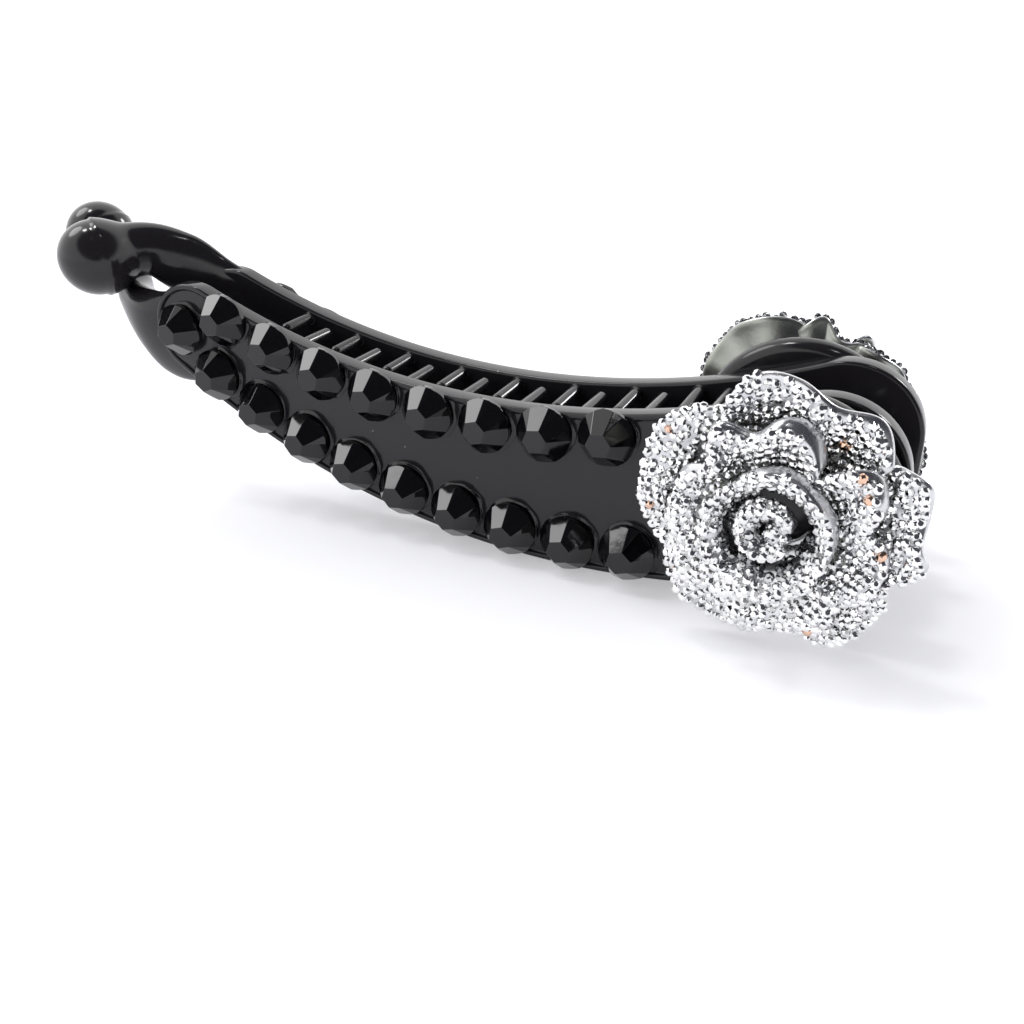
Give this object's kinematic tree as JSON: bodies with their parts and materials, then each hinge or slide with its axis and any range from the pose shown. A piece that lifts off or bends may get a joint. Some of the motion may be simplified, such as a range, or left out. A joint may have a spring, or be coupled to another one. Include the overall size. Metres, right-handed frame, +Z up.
{
  "type": "banana hair clip",
  "caption": "Curved two-arm hair clip, hinged at one end with a crossing ball clasp at the other, toothed inner edge, faceted stones and a rose on each outer face.",
  "frame": {"origin": "bottom centre of the bounding box, on the surface that the closed clip lies on", "axes": "+X along the clip from the clasp to the hinge, +Y from the front arm to the rear arm, +Z up towards the toothed edge"},
  "size_m": [0.113, 0.0366, 0.0325],
  "materials": {
    "black_plastic": "glossy injection-moulded black plastic",
    "black_stone": "polished faceted jet-black acrylic stone",
    "silver_resin": "bright metallised resin with a crushed-crystal texture",
    "pin_steel": "plain bright steel wire"
  },
  "bodies": {
    "rear": {"rear_arm": "black_plastic", "rear_upper_stone_1": "black_stone", "rear_upper_stone_2": "black_stone", "rear_upper_stone_3": "black_stone", "rear_upper_stone_4": "black_stone", "rear_upper_stone_5": "black_stone", "rear_upper_stone_6": "black_stone", "rear_upper_stone_7": "black_stone", "rear_upper_stone_8": "black_stone", "rear_upper_stone_9": "black_stone", "rear_lower_stone_1": "black_stone", "rear_lower_stone_2": "black_stone", "rear_lower_stone_3": "black_stone", "rear_lower_stone_4": "black_stone", "rear_lower_stone_5": "black_stone", "rear_lower_stone_6": "black_stone", "rear_lower_stone_7": "black_stone", "rear_lower_stone_8": "black_stone", "rear_lower_stone_9": "black_stone", "rear_rose_base": "black_plastic", "rear_rose": "silver_resin", "hinge_pin": "pin_steel"},
    "front": {"front_arm": "black_plastic", "front_upper_stone_1": "black_stone", "front_upper_stone_2": "black_stone", "front_upper_stone_3": "black_stone", "front_upper_stone_4": "black_stone", "front_upper_stone_5": "black_stone", "front_upper_stone_6": "black_stone", "front_upper_stone_7": "black_stone", "front_upper_stone_8": "black_stone", "front_upper_stone_9": "black_stone", "front_lower_stone_1": "black_stone", "front_lower_stone_2": "black_stone", "front_lower_stone_3": "black_stone", "front_lower_stone_4": "black_stone", "front_lower_stone_5": "black_stone", "front_lower_stone_6": "black_stone", "front_lower_stone_7": "black_stone", "front_lower_stone_8": "black_stone", "front_lower_stone_9": "black_stone", "front_rose_base": "black_plastic", "front_rose": "silver_resin"}
  },
  "joints": [
    {"name": "hinge", "type": "hinge", "parent": "rear", "child": "front", "pos_m": [0.04706, 0.00002, 0.01345], "axis": [0, 0, 1], "range_deg": [0, 60]}
  ]
}
